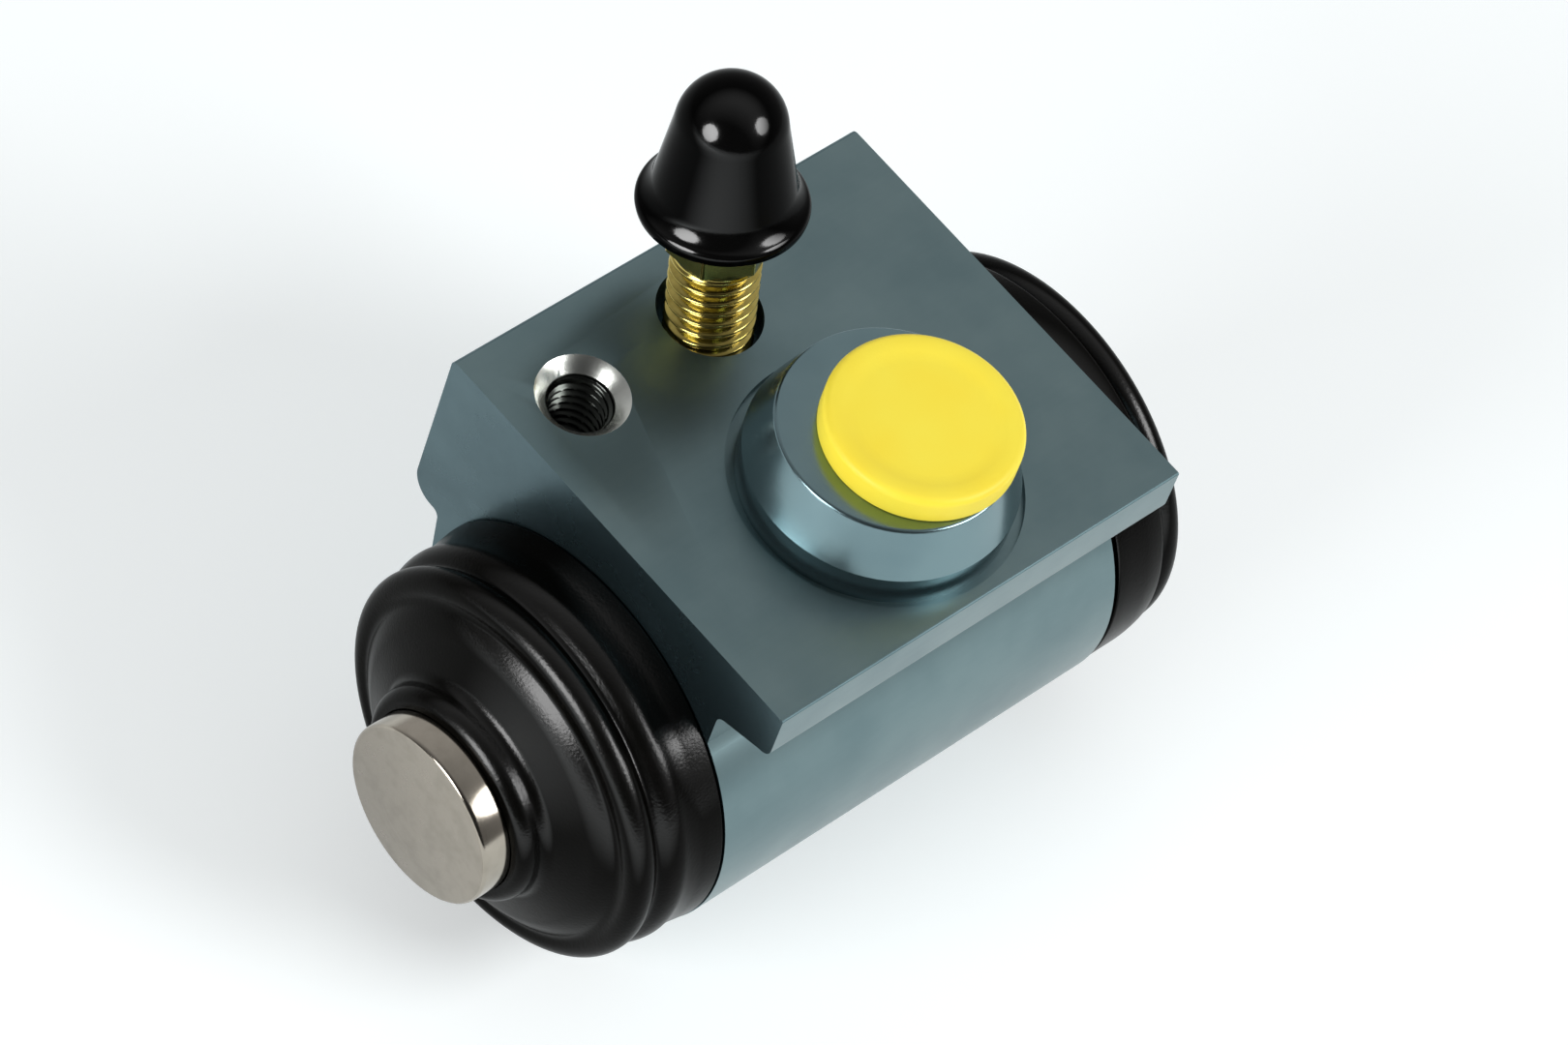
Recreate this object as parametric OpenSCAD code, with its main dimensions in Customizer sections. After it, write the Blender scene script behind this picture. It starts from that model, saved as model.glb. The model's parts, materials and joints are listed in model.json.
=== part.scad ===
// Wheel cylinder of a drum brake, with two opposed pistons.
// The origin is the centre of the locating boss on the mounting face.
// +X runs along the barrel, +Y towards the bleed screw, +Z out of the mounting face.

/* [Body section] */
// Length of the extruded section between its sawn end faces
body_len = 46.4; // [44:0.2:60]
// Thickness of the mounting plate at its near edge
plate_t = 5.6; // [5:0.1:6.6]
// Thickness of the plate at the wall that joins it to the barrel
plate_root_t = 7; // [6.6:0.1:8.4]
// Boss axis to the near edge of the plate
plate_near = 14.2; // [13.4:0.1:17]
// Rounding of the near upper edge of the plate
plate_edge_r = 0.2; // [0.1:0.05:0.6]
// Rounding of the near lower edge of the plate
plate_lower_r = 1.1; // [0.4:0.1:1.6]
// Rounding of the far upper edge of the plate
plate_far_r = 0.6; // [0.2:0.1:1]
// Outer radius of the barrel
barrel_r = 19.4; // [18.6:0.1:21]
// Depth of the top of the barrel below the mounting face
barrel_top = 5.8; // [5.2:0.1:6.4]
// Distance of the wall between plate and barrel from the boss axis
near_wall = 8.2; // [7.6:0.1:9.6]
// Radius of the hollow between that wall and the underside of the plate
near_root_r = 1; // [0.5:0.1:1.4]
// How far the bleed block reaches past the barrel
block_over = 4.4; // [4.2:0.1:7]
// Depth of the bleed block below the mounting face
block_depth = 18.7; // [17.6:0.1:20]
// Rounding of the lower corner of the bleed block
block_corner_r = 2.5; // [1:0.1:2.6]
// How far the wall under the bleed block stands out from the barrel
far_wall_out = 0.9; // [0.6:0.1:1.1]
// Radius of the hollow between the bleed block and that wall
far_root_r = 0.8; // [0.4:0.1:0.9]

/* [Bore and necks] */
// Radius of the cylinder bore
bore_r = 12.7; // [11:0.05:13]
// Outer radius of the turned necks that carry the boots
neck_r = 16; // [15.4:0.1:17]
// Length of each neck beyond the sawn end face
neck_len = 6; // [5:0.1:8]
// Distance of the bead groove from the sawn end face
bead_at = 2; // [1.5:0.1:2.6]
// Width of the bead groove
bead_w = 1.8; // [1.2:0.1:2.2]
// Depth of the bead groove
bead_depth = 0.8; // [0.4:0.1:1.2]
// Chamfer at the neck's rim and at the mouth of the bore
neck_chamfer = 0.6; // [0.2:0.1:1]

/* [Locating boss and inlet port] */
// Radius of the boss at its foot
boss_r = 12.2; // [11.6:0.1:12.8]
// Height of the straight foot of the boss
boss_foot_h = 2.5; // [1.5:0.1:4]
// Height of the boss
boss_h = 7.4; // [6:0.1:10]
// Radius of the flat top of the boss
boss_top_r = 10.45; // [10:0.05:11.5]
// Width of the relief groove round the foot
relief_w = 0.9; // [0.5:0.1:1.2]
// Depth of the relief groove
relief_depth = 0.7; // [0.3:0.1:1.5]
// Offset of the inlet port from the boss axis along the barrel
port_x = 1.15; // [0:0.05:1.5]
// Offset of the inlet port from the boss axis towards the near edge
port_near = 1.6; // [0:0.1:1.8]
// Radius of the inlet port's tapped hole
port_r = 4.5; // [4:0.1:5]
// Depth of the inlet port below the boss top
port_depth = 11; // [9:0.5:12]
// Radius of the feed drilling from the port to the bore
feed_r = 1.5; // [1:0.1:2.5]

/* [Fixing hole] */
// Distance of the fixing hole from the boss axis along the barrel
fix_x = 16; // [14:0.1:18]
// Distance of the fixing hole from the boss axis across the barrel
fix_y = 20.2; // [19.5:0.1:21]
// Radius of the tapped hole
fix_r = 2.5; // [2:0.05:3]
// Depth of the tapped hole
fix_depth = 14; // [10:0.5:15]
// Radius of the countersink at its mouth
fix_sink_r = 4.24; // [3.4:0.02:4.6]

/* [Bleed screw] */
// Offset of the bleed screw from the boss axis along the barrel, towards the fixing hole
bleed_x = 0.8; // [0:0.1:1.5]
// Distance of the bleed screw from the boss axis across the barrel, on the mounting face
bleed_y = 20.95; // [20:0.05:21.5]
// Lean of the bleed screw away from the boss, in degrees
bleed_tilt = 11.5; // [8:0.5:14]
// Radius of the bleed screw's thread
bleed_r = 4; // [3.5:0.05:4.2]
// Radius of the plain recess round the screw at the mounting face
bleed_recess_r = 4.74; // [4.5:0.02:5.5]
// Depth of that recess
bleed_recess_depth = 4.5; // [3:0.1:6]
// Depth of the screw's shoulder cone below the mounting face
bleed_depth = 14.5; // [12:0.1:15]
// Distance of the hex above the mounting face
hex_at = 7.7; // [6.5:0.1:9]
// Height of the hex
hex_h = 4.7; // [4:0.1:6]
// Width of the hex across its flats
hex_af = 8; // [7.6:0.1:9]
// Radius of the hose nipple's neck
nipple_r = 2.6; // [2.4:0.1:3]
// Radius of the hose nipple's barb
barb_r = 3.4; // [3.2:0.1:3.8]
// Length of the barb
barb_len = 3.4; // [2.4:0.1:4]
// Length of the hose nipple
nipple_len = 9; // [7:0.1:9.2]
// Radius of the passage along the screw
passage_r = 1; // [0.6:0.1:1.3]
// Radius of the cross hole above the seat cone
cross_r = 0.7; // [0.4:0.1:1]
// Radius of the seat cone's flat tip
tip_r = 1.5; // [1.3:0.05:2]
// Radius of the plain shank behind the seat cone
shank_r = 3.2; // [2.8:0.1:3.3]
// Length of that shank
shank_len = 2; // [1.5:0.1:3]
// Radius of the drilling from the seat to the bore
bleed_drill_r = 1.2; // [0.8:0.05:1.25]

/* [Bleed cap] */
// Outer radius of the cap's brim
brim_r = 7.6; // [6.8:0.05:8]
// Thickness of the brim
brim_t = 1.7; // [1.1:0.1:2.2]
// Rounding of the brim's edge
brim_edge_r = 0.5; // [0.2:0.05:0.5]
// Radius of the cone where it leaves the brim
cap_foot_r = 6.3; // [5.8:0.05:6.6]
// Radius of the dome
cap_dome_r = 4.9; // [4.6:0.05:5.4]
// Length of the cap from brim to the dome's centre
cap_len = 9.4; // [9:0.1:12]

/* [Port plug] */
// Radius of the plug's head
plug_r = 8.8; // [8:0.05:9]
// Thickness of the plug's head
plug_t = 2.8; // [1.8:0.1:4]
// Rounding of the head's upper edge
plug_edge_r = 0.7; // [0.3:0.05:0.9]
// Radius of the shallow dish in the head
plug_dish_r = 6.9; // [5:0.1:7.4]
// Depth of the dish
plug_dish_depth = 0.25; // [0.1:0.05:0.6]
// Length of the plug's shank in the port
plug_shank_len = 8; // [5:0.1:8.4]

/* [Pistons] */
// Distance of the left piston's outer face from the middle of the barrel
piston_face = 40.9; // [40.4:0.1:46]
// Distance of the left piston's inner face from the middle of the barrel
piston_inner = 13; // [12:0.1:14]
// How much further in the right piston is pushed
right_push = 2.7; // [0:0.1:2.8]
// Length of the piston's skirt in the bore
skirt_len = 14; // [12:0.1:15]
// Radius of the piston's stem
stem_r = 8.64; // [8:0.02:9.2]
// Depth of the boot groove in the stem
stem_groove_depth = 0.6; // [0.3:0.05:1]
// Width of the boot groove
stem_groove_w = 1.6; // [1.2:0.1:2]
// Chamfer of the stem's outer edge
stem_chamfer = 0.35; // [0.1:0.05:0.8]
// Chamfer of the skirt's edges
skirt_chamfer = 0.5; // [0.2:0.1:1]

/* [Seals and spring] */
// Length of each cup seal
cup_len = 4.6; // [4:0.1:5.5]
// Thickness of the cup's base
cup_base_t = 1.8; // [1.4:0.1:2.4]
// Thickness of the cup's lip
cup_lip_t = 1.3; // [0.9:0.1:1.8]
// How far the cup narrows from its lip to its base
cup_taper = 0.5; // [0.2:0.1:1]
// Radius of each spring seat's flange
seat_r = 9; // [8.4:0.1:9.4]
// Thickness of the spring seat's flange
seat_t = 1; // [0.8:0.1:1.6]
// Radius of the spring seat's hub
seat_hub_r = 4.6; // [4:0.1:5]
// Length of the spring seat's hub
seat_hub_len = 2.6; // [2:0.1:3.2]
// Radius of the spring at the middle of its wire
coil_r = 6; // [5.8:0.1:7]
// Radius of the spring's wire
wire_r = 0.6; // [0.4:0.05:0.7]
// Turns of the spring
coil_turns = 6; // [4:1:8]

/* [Dust boots] */
// Thickness of the band that grips the neck
band_t = 3.15; // [2.8:0.05:3.6]
// Length of that band
band_len = 5; // [4.6:0.1:5.6]
// Rounding of the band's edges
band_edge_r = 0.9; // [0.6:0.1:1.3]
// Gap between the boot and the sawn end face
boot_gap = 0.4; // [0.2:0.1:0.8]
// Thickness of the boot in the groove between band and roll
waist_t = 1.2; // [1:0.1:1.8]
// Distance from the band to the middle of the roll
roll_step = 2.7; // [2.4:0.1:3.2]
// Height of the roll over the neck
roll_t = 2.8; // [2.4:0.1:3.2]
// Radius of the roll's rounded section
roll_bead_r = 1.65; // [1.4:0.05:2]
// Depth of the hollow in front of the roll
dip_depth = 0.35; // [0.2:0.05:0.5]
// Distance from the front of the roll to the foot of the lip
front_rise = 2.45; // [2.4:0.05:3.2]
// Share of the front's rise at its rounded shoulder
shoulder_rise = 0.5; // [0.4:0.05:0.6]
// Share of the front's width outside that shoulder
shoulder_width = 0.33; // [0.3:0.01:0.5]
// Thickness of the boot's front wall
boot_wall = 1.3; // [1:0.1:1.5]
// Outer radius of the lip that grips the stem
lip_r = 10.2; // [9.9:0.1:11]
// Length of the lip beyond its foot
lip_len = 2.55; // [2.3:0.05:4]
// Rounding of the lip's edges
lip_edge_r = 0.45; // [0.2:0.05:0.5]

/* [Clearances] */
// Radial clearance of the pistons and cups in the bore
bore_clear = 0.03; // [0.02:0.01:0.08]
// Radial clearance of the bleed screw in its thread
thread_clear = 0.05; // [0.02:0.01:0.08]
// Clearance of soft and loose pieces at their seats
seat_clear = 0.1; // [0.05:0.05:0.2]

/* [Hidden] */
$fn = 96;

// Overshoot of a cut past the face that it opens
past = 1;
// Centre of the barrel in the section
barrel_y = barrel_r - plate_near;
barrel_z = -barrel_top - barrel_r;
// Slope of the plate's near underside, and the centre of the hollow at its root
near_slope = atan((plate_root_t - plate_t) / (plate_near - plate_lower_r - near_wall));
root_y = -near_wall - near_root_r;
root_z = near_root_r * (tan(near_slope) - 1 / cos(near_slope)) - plate_root_t;
// Far edge of the plate, and the wall under the block, which leans in to touch the barrel
far_side = barrel_y + barrel_r;
plate_far = far_side + block_over;
far_wall = far_side + far_wall_out;
far_rise = -block_depth - barrel_z;
far_angle = atan2(far_rise, far_wall - barrel_y)
    - acos(barrel_r / norm([far_wall - barrel_y, far_rise]));
// Centre of the hollow between the block and that wall
far_root_y = far_wall + far_root_r * (1 + sin(far_angle)) / cos(far_angle);
far_root_z = -block_depth - far_root_r;
// Half lengths along the barrel
body_half = body_len / 2;
neck_half = body_half + neck_len;
// Bottom of the port's cone
port_cone_h = port_r - feed_r;
port_floor = boss_h - port_depth;
// Point on the bleed axis nearest to the barrel axis, measured down from the face
bleed_reach = (bleed_y - barrel_y) * sin(bleed_tilt) - barrel_z * cos(bleed_tilt);
bleed_hole_r = bleed_r + thread_clear;
hex_top = hex_at + hex_h;
nipple_top = hex_top + nipple_len;
// Cap cavity, clear of the barb all the way off
cap_bore_r = barb_r + seat_clear;
cap_dome_at = hex_top + cap_len;
// Piston, cups and spring along the barrel
piston_r = bore_r - bore_clear;
skirt_end = piston_inner + skirt_len;
cup_r = bore_r - bore_clear;
cup_floor = piston_inner - cup_base_t;
seat_face = cup_floor - seat_t;
spring_half = seat_face - seat_clear;
// Pitch of a closed end turn, in wire radii
coil_closed = 2.2;
// Dust boot along the barrel
boot_start = body_half + boot_gap;
band_end = boot_start + band_len;
roll_at = band_end + roll_step;
band_r = neck_r + band_t;
waist_r = neck_r + waist_t;
roll_mid_r = neck_r + roll_t - roll_bead_r;
lip_foot = roll_at + roll_bead_r + front_rise;
boot_bore_r = neck_r + seat_clear;
groove_mid = lip_foot + lip_len / 2;
groove_r = stem_r - stem_groove_depth;

// Rectangle from corner a to corner b with its corners rounded to r
module rounded_rect(a, b, r) {
    translate(a + [r, 0]) square(b - a - [2 * r, 0]);
    translate(a + [0, r]) square(b - a - [0, 2 * r]);
    for (x = [a[0] + r, b[0] - r], y = [a[1] + r, b[1] - r])
        translate([x, y]) circle(r);
}

// Moves a shape that is built round Z to the barrel axis, towards +X
module on_barrel() {
    translate([0, barrel_y, barrel_z]) rotate([0, 90, 0]) children();
}

// Turns a profile of radius and distance from the middle into a piece of the right-hand end
module turned_on_barrel() {
    on_barrel() rotate_extrude() children();
}

module left() {
    mirror([1, 0, 0]) children();
}

// Moves the right piston and what it carries to where it is pushed in
module right() {
    translate([-right_push, 0, 0]) children();
}

// Moves a shape that is built round Z to the bleed screw's axis
module on_bleed_axis() {
    translate([-bleed_x, bleed_y, 0]) rotate([-bleed_tilt, 0, 0]) children();
}

module at_port() {
    translate([port_x, -port_near, 0]) children();
}

// Cross-section of the extrusion, across the barrel and up
module body_section() {
    barrel = [barrel_y, barrel_z];
    near_edge = plate_lower_r - plate_near;
    root = [root_y, root_z];
    root_touch = root + near_root_r * [sin(near_slope), cos(near_slope)];
    out = [cos(far_angle), sin(far_angle)];
    far_root = [far_root_y, far_root_z];
    far_root_touch = far_root - far_root_r * out;
    far_inside = far_wall - block_corner_r;
    // Plate with its edges, and the sloping underside with the wall below it
    translate([-plate_near, plate_lower_r - plate_t])
        square([plate_near + plate_far, plate_t - plate_lower_r - plate_far_r]);
    translate([-plate_near, -plate_far_r])
        square([plate_near + plate_far - plate_far_r, plate_far_r - plate_edge_r]);
    translate([plate_edge_r - plate_near, -plate_far_r])
        square([plate_near + plate_far - plate_edge_r - plate_far_r, plate_far_r]);
    translate([plate_edge_r - plate_near, -plate_edge_r]) circle(plate_edge_r);
    translate([plate_far - plate_far_r, -plate_far_r]) circle(plate_far_r);
    translate([near_edge, plate_lower_r - plate_t]) circle(plate_lower_r);
    translate(barrel) circle(barrel_r);
    polygon([
        [near_edge, -plate_t], [-near_wall, -plate_root_t], [-near_wall, barrel_z], barrel,
        [barrel_y, -plate_far_r], [near_edge, -plate_far_r]
    ]);
    difference() {
        polygon([
            root_touch, root_touch + [0, plate_edge_r], [plate_edge_r - near_wall, -plate_t],
            [plate_edge_r - near_wall, root_z], root
        ]);
        translate(root) circle(near_root_r);
    }
    // Bleed block, and the leaning wall below it
    translate([barrel_y, -block_depth])
        square([plate_far - block_corner_r - barrel_y, block_depth - plate_far_r]);
    translate([barrel_y, block_corner_r - block_depth])
        square([plate_far - barrel_y, block_depth - block_corner_r - plate_far_r]);
    translate([plate_far - block_corner_r, block_corner_r - block_depth]) circle(block_corner_r);
    polygon([
        barrel, barrel + barrel_r * out, [far_wall, -block_depth],
        [far_wall, block_corner_r - block_depth], [barrel_y, block_corner_r - block_depth]
    ]);
    difference() {
        polygon([
            far_root_touch, [far_inside, far_root_touch[1]], [far_inside, block_corner_r - block_depth],
            [far_root_y, block_corner_r - block_depth], far_root
        ]);
        translate(far_root) circle(far_root_r);
    }
}

// Turned neck that carries a boot, with its bead groove
module neck() {
    turned_on_barrel() polygon([
        [0, 0], [neck_r, 0],
        [neck_r, body_half + bead_at], [neck_r - bead_depth, body_half + bead_at],
        [neck_r - bead_depth, body_half + bead_at + bead_w], [neck_r, body_half + bead_at + bead_w],
        [neck_r, neck_half - neck_chamfer], [neck_r - neck_chamfer, neck_half], [0, neck_half]
    ]);
}

module boss() {
    cylinder(r = boss_r, h = boss_foot_h);
    translate([0, 0, -plate_t / 2]) cylinder(r = boss_r, h = plate_t / 2);
    translate([0, 0, boss_foot_h])
        cylinder(r1 = boss_r, r2 = boss_top_r, h = boss_h - boss_foot_h);
}

module relief_groove() {
    difference() {
        translate([0, 0, -relief_depth]) cylinder(r = boss_r + relief_w, h = relief_depth + past);
        translate([0, 0, -relief_depth - past]) cylinder(r = boss_r, h = relief_depth + 3 * past);
    }
}

module inlet_port_cut() {
    at_port() {
        translate([0, 0, port_floor]) cylinder(r = port_r, h = port_depth + past);
        translate([0, 0, port_floor - port_cone_h])
            cylinder(r1 = feed_r, r2 = port_r, h = port_cone_h);
        translate([0, 0, barrel_z]) cylinder(r = feed_r, h = port_floor - barrel_z);
    }
}

module fixing_hole_cut() {
    sink_h = fix_sink_r - fix_r;
    translate([-fix_x, fix_y, 0]) {
        translate([0, 0, -fix_depth]) cylinder(r = fix_r, h = fix_depth + past);
        translate([0, 0, -fix_depth - fix_r / 2]) cylinder(r1 = 0, r2 = fix_r, h = fix_r / 2);
        translate([0, 0, -sink_h])
            cylinder(r1 = fix_r, r2 = fix_sink_r + past, h = sink_h + past);
    }
}

module bleed_hole_cut() {
    seat_h = bleed_hole_r - bleed_drill_r;
    on_bleed_axis() {
        translate([0, 0, -bleed_recess_depth])
            cylinder(r = bleed_recess_r, h = bleed_recess_depth + plate_t);
        translate([0, 0, -bleed_depth]) cylinder(r = bleed_hole_r, h = bleed_depth);
        translate([0, 0, -bleed_depth - seat_h])
            cylinder(r1 = bleed_drill_r, r2 = bleed_hole_r, h = seat_h);
        translate([0, 0, -bleed_reach]) cylinder(r = bleed_drill_r, h = bleed_reach);
    }
}

module bore_cut() {
    turned_on_barrel() polygon([
        [0, -past], [bore_r, -past], [bore_r, neck_half - neck_chamfer],
        [bore_r + neck_chamfer + past, neck_half + past], [0, neck_half + past]
    ]);
}

module cylinder_body() {
    color("#6b7d83") difference() {
        union() {
            translate([-body_half, 0, 0])
                rotate([90, 0, 90]) linear_extrude(body_len) body_section();
            neck();
            left() neck();
            boss();
        }
        relief_groove();
        inlet_port_cut();
        fixing_hole_cut();
        bleed_hole_cut();
        bore_cut();
        left() bore_cut();
    }
}

module piston() {
    groove_in = groove_mid - stem_groove_w / 2;
    groove_out = groove_mid + stem_groove_w / 2;
    color("#b9b6aa") turned_on_barrel() polygon([
        [0, piston_inner], [piston_r - skirt_chamfer, piston_inner],
        [piston_r, piston_inner + skirt_chamfer], [piston_r, skirt_end - skirt_chamfer],
        [piston_r - skirt_chamfer, skirt_end], [stem_r, skirt_end],
        [stem_r, groove_in], [groove_r, groove_in], [groove_r, groove_out], [stem_r, groove_out],
        [stem_r, piston_face - stem_chamfer], [stem_r - stem_chamfer, piston_face], [0, piston_face]
    ]);
}

// Cup seal with its lip towards the pressure side
module cup_seal() {
    cup_open = piston_inner - cup_len;
    color("#1d1d1d") turned_on_barrel() polygon([
        [0, cup_floor], [seat_r + seat_clear, cup_floor], [cup_r - cup_lip_t, cup_open],
        [cup_r, cup_open], [cup_r - cup_taper, piston_inner], [0, piston_inner]
    ]);
}

// Spring seat with a hub inside the spring
module spring_seat() {
    color("#c8c9c4") turned_on_barrel() polygon([
        [0, cup_floor], [seat_r, cup_floor], [seat_r, seat_face], [seat_hub_r, seat_face],
        [seat_hub_r - skirt_chamfer, seat_face - seat_hub_len], [0, seat_face - seat_hub_len]
    ]);
}

// Rise of the wire's middle along the spring, with a closed turn at each end
function coil_rise(turn) =
    let (closed = coil_closed * wire_r, open = 2 * spring_half - right_push - 2 * wire_r - 2 * closed)
    turn < 1 ? closed * turn
        : turn > coil_turns - 1 ? closed + open + closed * (turn - coil_turns + 1)
        : closed + open * (turn - 1) / (coil_turns - 2);

// Round wire swept along the coil
module return_spring() {
    steps_per_turn = 24;
    sides = 10;
    rings = coil_turns * steps_per_turn;
    rows = [for (i = [0:rings], k = [0:sides - 1])
        let (
            a = 360 * i / steps_per_turn,
            b = 360 * k / sides,
            r = coil_r + wire_r * cos(b),
            z = wire_r - spring_half + coil_rise(i / steps_per_turn) + wire_r * sin(b)
        )
        [r * cos(a), r * sin(a), z]];
    quads = [for (i = [0:rings - 1], k = [0:sides - 1])
        let (k2 = (k + 1) % sides)
        [i * sides + k, i * sides + k2, (i + 1) * sides + k2, (i + 1) * sides + k]];
    ends = [
        [for (k = [0:sides - 1]) sides - 1 - k],
        [for (k = [0:sides - 1]) rings * sides + k]
    ];
    color("#8d9094") on_barrel() polyhedron(points = rows, faces = concat(quads, ends));
}

// Boot profile of radius and distance: band with its bead, waist, roll, sloping front and lip.
// The lip is pushed in with its piston
module boot_profile(push) {
    bead_in = body_half + bead_at + seat_clear;
    foot = lip_foot - push;
    stem_bead_in = groove_mid - push - stem_groove_w / 2 + seat_clear;
    lip_mid_r = (lip_r + stem_r) / 2;
    front = roll_at + roll_bead_r;
    dip = [roll_mid_r - roll_bead_r / 2, front - dip_depth];
    shoulder = [
        roll_mid_r - shoulder_width * (roll_mid_r - lip_r), front + shoulder_rise * (front_rise - push)
    ];
    rounded_rect([boot_bore_r, boot_start], [band_r, band_end], band_edge_r);
    translate([neck_r - bead_depth + seat_clear, bead_in])
        square([bead_depth + band_edge_r, bead_w - 2 * seat_clear]);
    translate([boot_bore_r, band_end - band_edge_r])
        square([waist_r - boot_bore_r, roll_step + band_edge_r]);
    translate([roll_mid_r, roll_at]) circle(roll_bead_r);
    polygon([
        dip - [0, boot_wall], dip, shoulder,
        [lip_r + lip_edge_r, foot], [lip_mid_r, foot],
        [lip_mid_r, foot - boot_wall], [lip_r + lip_edge_r, foot - boot_wall]
    ]);
    rounded_rect([stem_r + seat_clear, foot - boot_wall], [lip_r, foot + lip_len], lip_edge_r);
    translate([groove_r + seat_clear, stem_bead_in])
        square([lip_mid_r - groove_r - seat_clear, stem_groove_w - 2 * seat_clear]);
}

module dust_boot(push) {
    color("#161616") turned_on_barrel() boot_profile(push);
}

// Bleed screw with its seat cone, thread cylinder, hex and hose nipple
module bleed_screw() {
    tip = seat_clear - bleed_depth - bleed_r + tip_r;
    shank_at = tip + shank_r - tip_r;
    thread_at = shank_at + shank_len;
    barb_at = nipple_top - barb_len;
    color("#c9a54a") on_bleed_axis() difference() {
        union() {
            rotate_extrude() polygon([
                [0, tip], [tip_r, tip], [shank_r, shank_at], [shank_r, thread_at],
                [bleed_r, thread_at + bleed_r - shank_r], [bleed_r, hex_at], [0, hex_at]
            ]);
            translate([0, 0, hex_at]) cylinder(d = hex_af / cos(30), h = hex_h, $fn = 6);
            rotate_extrude() polygon([
                [0, hex_at], [nipple_r, hex_at], [nipple_r, barb_at], [barb_r, barb_at],
                [barb_r, barb_at + barb_r - nipple_r], [nipple_r, nipple_top], [0, nipple_top]
            ]);
        }
        translate([0, 0, shank_at]) cylinder(r = passage_r, h = nipple_top - shank_at + past);
        translate([0, 0, shank_at + shank_len / 2])
            rotate([90, 0, 0]) cylinder(r = cross_r, h = 4 * bleed_r, center = true);
    }
}

// Rubber cap pushed over the hose nipple
module bleed_cap() {
    color("#141414") on_bleed_axis() difference() {
        union() {
            rotate_extrude() {
                rounded_rect([cap_bore_r, hex_top], [brim_r, hex_top + brim_t], brim_edge_r);
                polygon([
                    [0, hex_top + brim_edge_r], [cap_foot_r, hex_top + brim_edge_r],
                    [cap_foot_r, hex_top + brim_t], [cap_dome_r, cap_dome_at], [0, cap_dome_at]
                ]);
            }
            translate([0, 0, cap_dome_at]) sphere(cap_dome_r);
        }
        translate([0, 0, hex_top - past])
            cylinder(r = cap_bore_r, h = nipple_len + seat_clear + past);
    }
}

// Shipping plug in the inlet port
module port_plug() {
    color("#f5d21e") at_port() translate([0, 0, boss_h]) {
        rotate_extrude() difference() {
            union() {
                square([plug_r, plug_t - plug_edge_r]);
                square([plug_r - plug_edge_r, plug_t]);
                translate([plug_r - plug_edge_r, plug_t - plug_edge_r]) circle(plug_edge_r);
            }
            translate([-past, plug_t - plug_dish_depth]) square([plug_dish_r + past, plug_t]);
        }
        translate([0, 0, -plug_shank_len])
            cylinder(r1 = port_r - 4 * seat_clear, r2 = port_r - seat_clear, h = plug_shank_len);
    }
}

cylinder_body();
left() piston();  // piston_left
right() piston();  // piston_right
left() cup_seal();  // cup_seal_left
right() cup_seal();  // cup_seal_right
left() spring_seat();  // spring_seat_left
right() spring_seat();  // spring_seat_right
return_spring();
left() dust_boot(0);  // dust_boot_left
dust_boot(right_push);  // dust_boot_right
bleed_screw();
bleed_cap();
port_plug();
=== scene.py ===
"""Looks of a drum brake wheel cylinder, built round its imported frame.

Sizes are in millimetres until a mesh is placed, and MM turns them into metres. The frame's origin is the
centre of the locating boss on the mounting face: +X runs along the barrel, +Y towards the bleed screw and
+Z out of the mounting face.
"""

import json
import logging
import math
from dataclasses import dataclass
from enum import Enum, IntEnum
from typing import Any, Iterable, Optional, Sequence

import bmesh
import bpy
from mathutils import Matrix, Vector


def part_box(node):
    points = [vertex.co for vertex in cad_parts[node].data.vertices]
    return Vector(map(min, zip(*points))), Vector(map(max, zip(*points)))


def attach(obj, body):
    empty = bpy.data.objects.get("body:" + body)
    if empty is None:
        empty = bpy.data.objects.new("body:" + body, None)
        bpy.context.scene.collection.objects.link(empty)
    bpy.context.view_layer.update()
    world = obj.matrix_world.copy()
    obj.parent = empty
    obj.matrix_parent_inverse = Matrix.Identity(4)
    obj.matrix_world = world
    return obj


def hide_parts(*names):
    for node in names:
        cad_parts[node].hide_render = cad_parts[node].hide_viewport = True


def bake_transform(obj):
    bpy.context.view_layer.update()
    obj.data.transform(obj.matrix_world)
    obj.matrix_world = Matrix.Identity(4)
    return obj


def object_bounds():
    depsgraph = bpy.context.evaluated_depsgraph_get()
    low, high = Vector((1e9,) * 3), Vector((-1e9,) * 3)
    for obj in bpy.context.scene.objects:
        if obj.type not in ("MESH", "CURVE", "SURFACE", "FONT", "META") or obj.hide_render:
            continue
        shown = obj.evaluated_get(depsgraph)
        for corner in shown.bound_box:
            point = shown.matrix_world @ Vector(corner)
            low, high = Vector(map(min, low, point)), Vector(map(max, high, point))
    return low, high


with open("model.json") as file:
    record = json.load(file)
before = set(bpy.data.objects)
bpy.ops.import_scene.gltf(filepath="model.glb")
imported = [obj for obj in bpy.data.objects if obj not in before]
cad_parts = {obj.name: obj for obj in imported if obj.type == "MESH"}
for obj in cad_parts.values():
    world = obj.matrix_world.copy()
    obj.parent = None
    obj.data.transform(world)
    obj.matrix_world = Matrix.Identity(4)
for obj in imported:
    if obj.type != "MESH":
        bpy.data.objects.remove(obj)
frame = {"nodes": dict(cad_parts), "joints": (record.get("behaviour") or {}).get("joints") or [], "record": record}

log = logging.getLogger("wheel_cylinder")

Tree = bpy.types.NodeTree
Socket = bpy.types.NodeSocket
Shape = bmesh.types.BMesh
Piece = bpy.types.Object

MM = 0.001
FULL_TURN = 2.0 * math.pi
QUARTER_TURN = math.radians(90.0)
MERGE_MM = 0.002
METAL_FROM = 0.5
ARC_STEP_DEG = 8.0
THREAD_ROOT = 0.25
THREAD_FLANK = 0.625
THREADED_SHARE = 0.9
CAD_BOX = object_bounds()


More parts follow.
